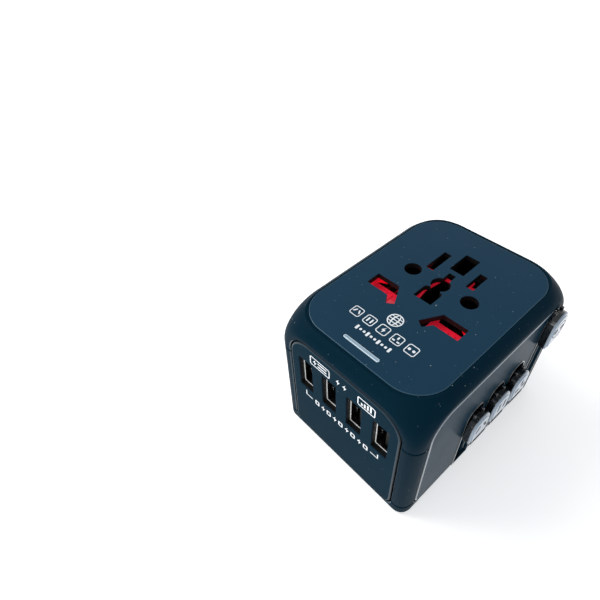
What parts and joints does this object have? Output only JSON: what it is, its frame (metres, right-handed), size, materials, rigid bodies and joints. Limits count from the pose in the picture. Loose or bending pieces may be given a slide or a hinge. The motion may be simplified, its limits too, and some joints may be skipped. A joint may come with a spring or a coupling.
{
  "type": "universal travel adapter",
  "caption": "Pocket travel adapter block with a multi-standard socket face, charging ports on one end and side sliders that push plug pins out of the back.",
  "frame": {"origin": "middle of the flat back face, where the plug pins come out and on which the adapter stands", "axes": "+Z out of the socket face, -Y out of the charging-port end, +X out of the side with the sliders"},
  "size_m": [0.0528, 0.068, 0.051],
  "materials": {
    "shell": "soft-touch matte moulded ABS, fine grain",
    "face_panel": "satin moulded polycarbonate",
    "trim_panel": "matte moulded ABS",
    "knob": "matte black moulded plastic",
    "knob_face": "gloss inlay",
    "carrier": "black moulded nylon",
    "pin_metal": "nickel-plated brass",
    "contact": "bare stamped brass",
    "shutter": "glossy translucent red polycarbonate",
    "port_metal": "nickel-plated stamped steel",
    "port_tongue": "black moulded nylon with gilt contacts",
    "lamp": "frosted light pipe",
    "board": "green solder mask",
    "ferrite": "dark grey ferrite",
    "winding": "yellow tape over copper wire",
    "capacitor": "shrink sleeve over aluminium can",
    "fuse_glass": "clear glass tube",
    "steel": "zinc-plated steel"
  },
  "bodies": {
    "housing": {"front_panel": "face_panel", "front_shell": "shell", "back_shell": "shell", "back_plate": "shell", "usb_end_panel": "trim_panel", "far_end_panel": "trim_panel", "slider_side_panel": "trim_panel", "plain_side_panel": "trim_panel", "indicator_light_pipe": "lamp", "indicator_board": "board", "indicator_led": "lamp", "shutter_springs": "steel", "socket_block": "carrier", "live_contact": "contact", "neutral_contact": "contact", "earth_contact": "contact", "live_busbar": "contact", "neutral_busbar": "contact", "usb_shell_1": "port_metal", "usb_shell_2": "port_metal", "usb_shell_3": "port_metal", "usb_shell_4": "port_metal", "usb_tongue_1": "port_tongue", "usb_tongue_2": "port_tongue", "usb_tongue_3": "port_tongue", "usb_tongue_4": "port_tongue", "usb_board": "board", "power_board": "board", "transformer_core": "ferrite", "transformer_winding": "winding", "mains_capacitor": "capacitor", "output_capacitor": "capacitor", "fuse": "fuse_glass", "fuse_clips": "contact", "case_screws": "steel"},
    "shutter": {"shutter": "shutter"},
    "au_slider": {"au_carriage": "carrier", "au_blades": "pin_metal", "au_knob": "knob", "au_knob_face": "knob_face"},
    "us_slider": {"us_carriage": "carrier", "us_blades": "pin_metal", "us_knob": "knob", "us_knob_face": "knob_face"},
    "uk_slider": {"uk_carriage": "carrier", "uk_flat_pins": "pin_metal", "uk_earth_pin": "pin_metal", "uk_knob": "knob", "uk_knob_face": "knob_face"},
    "eu_slider": {"eu_carriage": "carrier", "eu_pins": "pin_metal", "eu_knob": "knob", "eu_knob_face": "knob_face"}
  },
  "joints": [
    {"name": "au_slide", "type": "slide", "parent": "housing", "child": "au_slider", "axis": [0, 0, -1], "range_m": [0, 0.0172]},
    {"name": "us_slide", "type": "slide", "parent": "housing", "child": "us_slider", "axis": [0, 0, -1], "range_m": [0, 0.0172]},
    {"name": "uk_slide", "type": "slide", "parent": "housing", "child": "uk_slider", "axis": [0, 0, -1], "range_m": [0, 0.0172]},
    {"name": "eu_slide", "type": "slide", "parent": "housing", "child": "eu_slider", "axis": [0, 0, -1], "range_m": [0, 0.031]},
    {"name": "shutter_slide", "type": "slide", "parent": "housing", "child": "shutter", "axis": [0, -1, 0], "range_m": [0, 0.0048], "stiffness_N_per_m": 120, "springref_m": -0.004, "deforming": ["shutter_springs"]}
  ]
}
